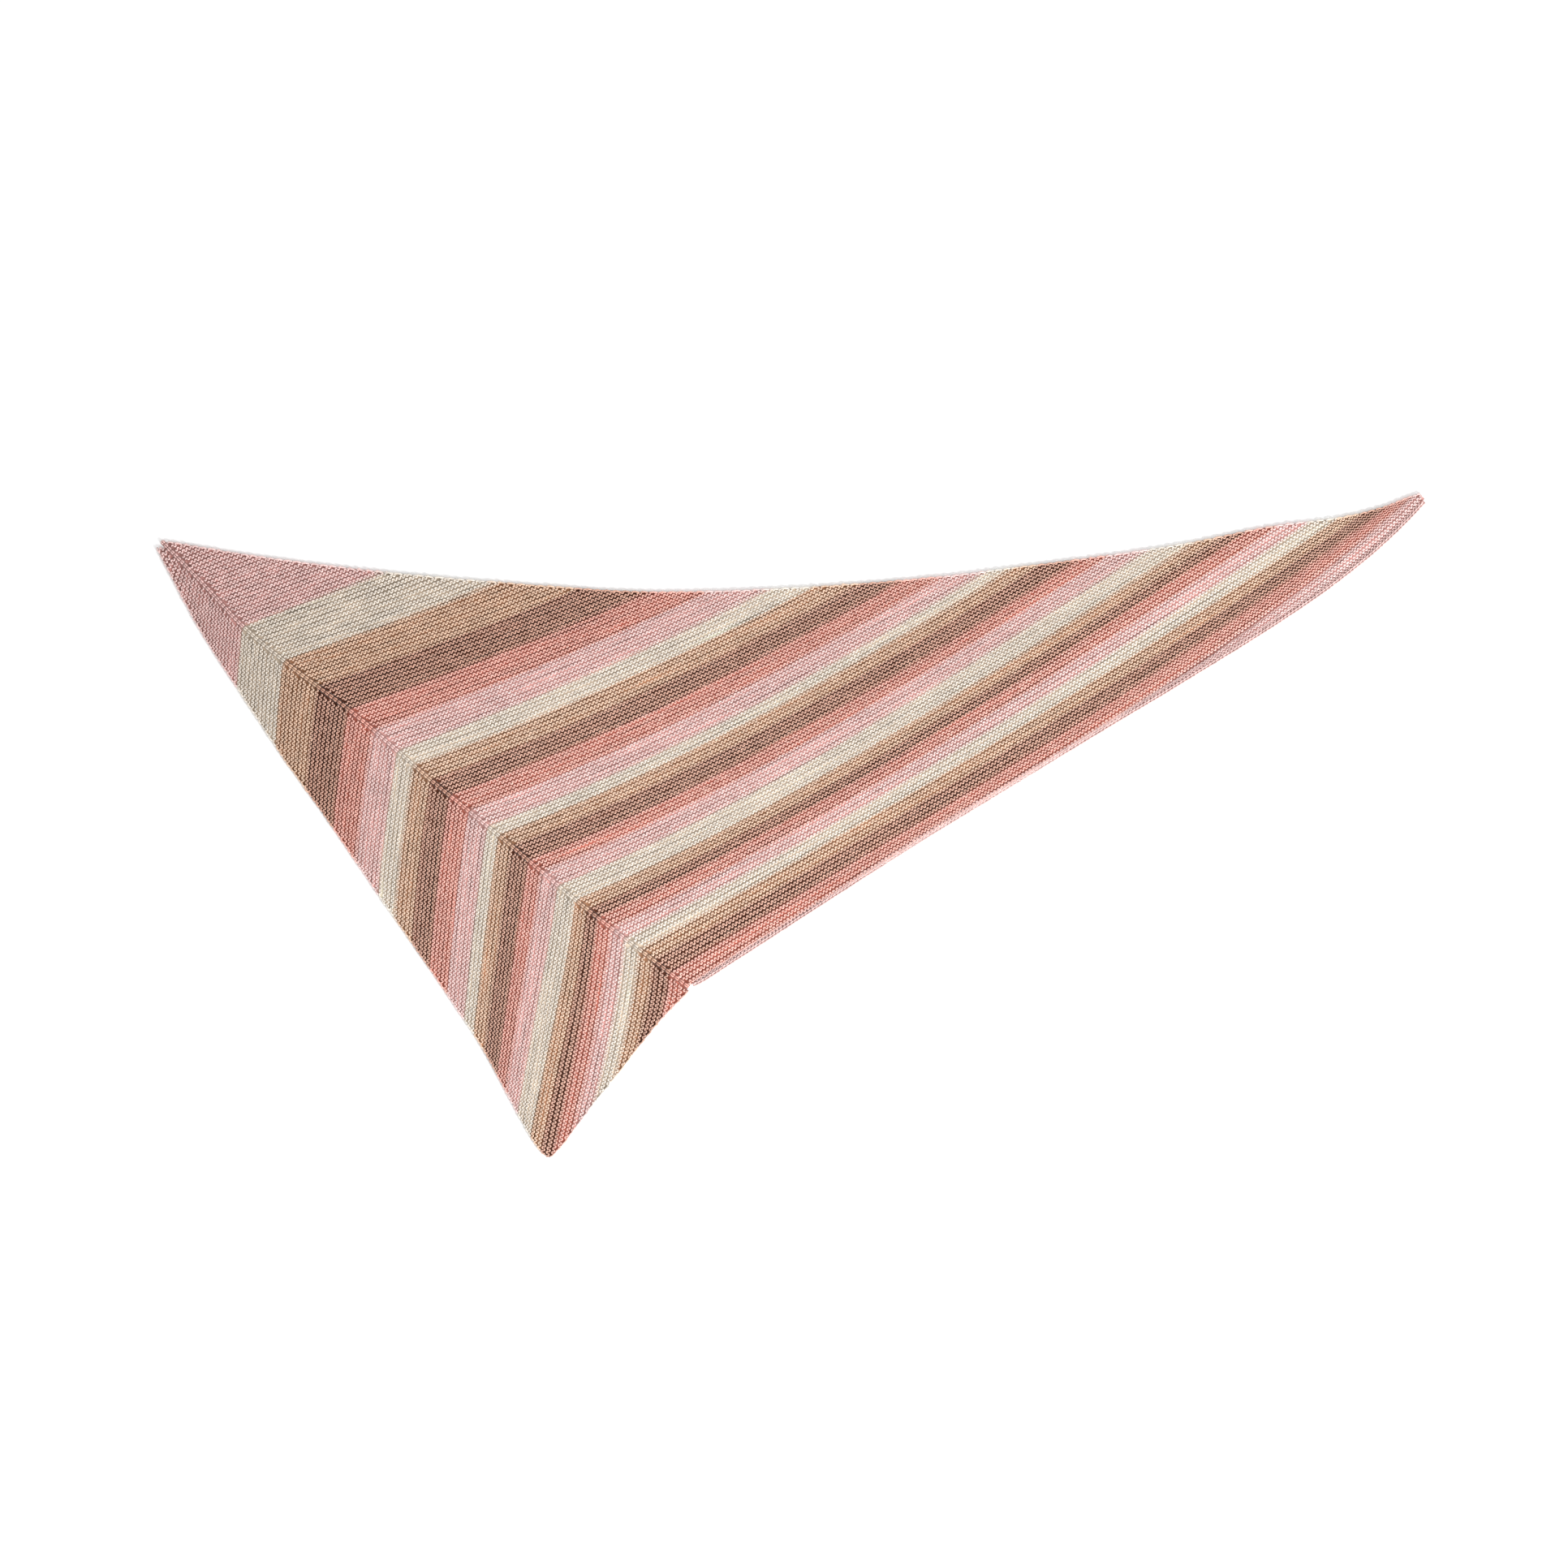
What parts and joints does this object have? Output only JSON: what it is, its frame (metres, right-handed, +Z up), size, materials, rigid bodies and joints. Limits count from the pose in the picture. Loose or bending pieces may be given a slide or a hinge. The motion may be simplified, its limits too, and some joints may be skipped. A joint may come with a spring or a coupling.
{
  "type": "knitted shawl",
  "caption": "Uneven triangular garter-stitch shawl in striped cotton, with a raised spine of stitches, laid flat.",
  "frame": {"origin": "centre of the laid-out shawl's bounding box, on the surface it lies on", "axes": "+X from the narrow left tip towards the right tip, +Y towards the long top edge, +Z up off the surface"},
  "size_m": [1.407, 0.7352, 0.0034],
  "materials": {
    "striped_cotton": "matte knitted cotton in pink, cream, camel, brown and coral stripes",
    "pink_cotton": "matte knitted cotton"
  },
  "bodies": {
    "root": {"wide_wing": "striped_cotton", "narrow_wing": "striped_cotton", "spine": "striped_cotton", "cast_off_edge": "pink_cotton"}
  },
  "joints": []
}
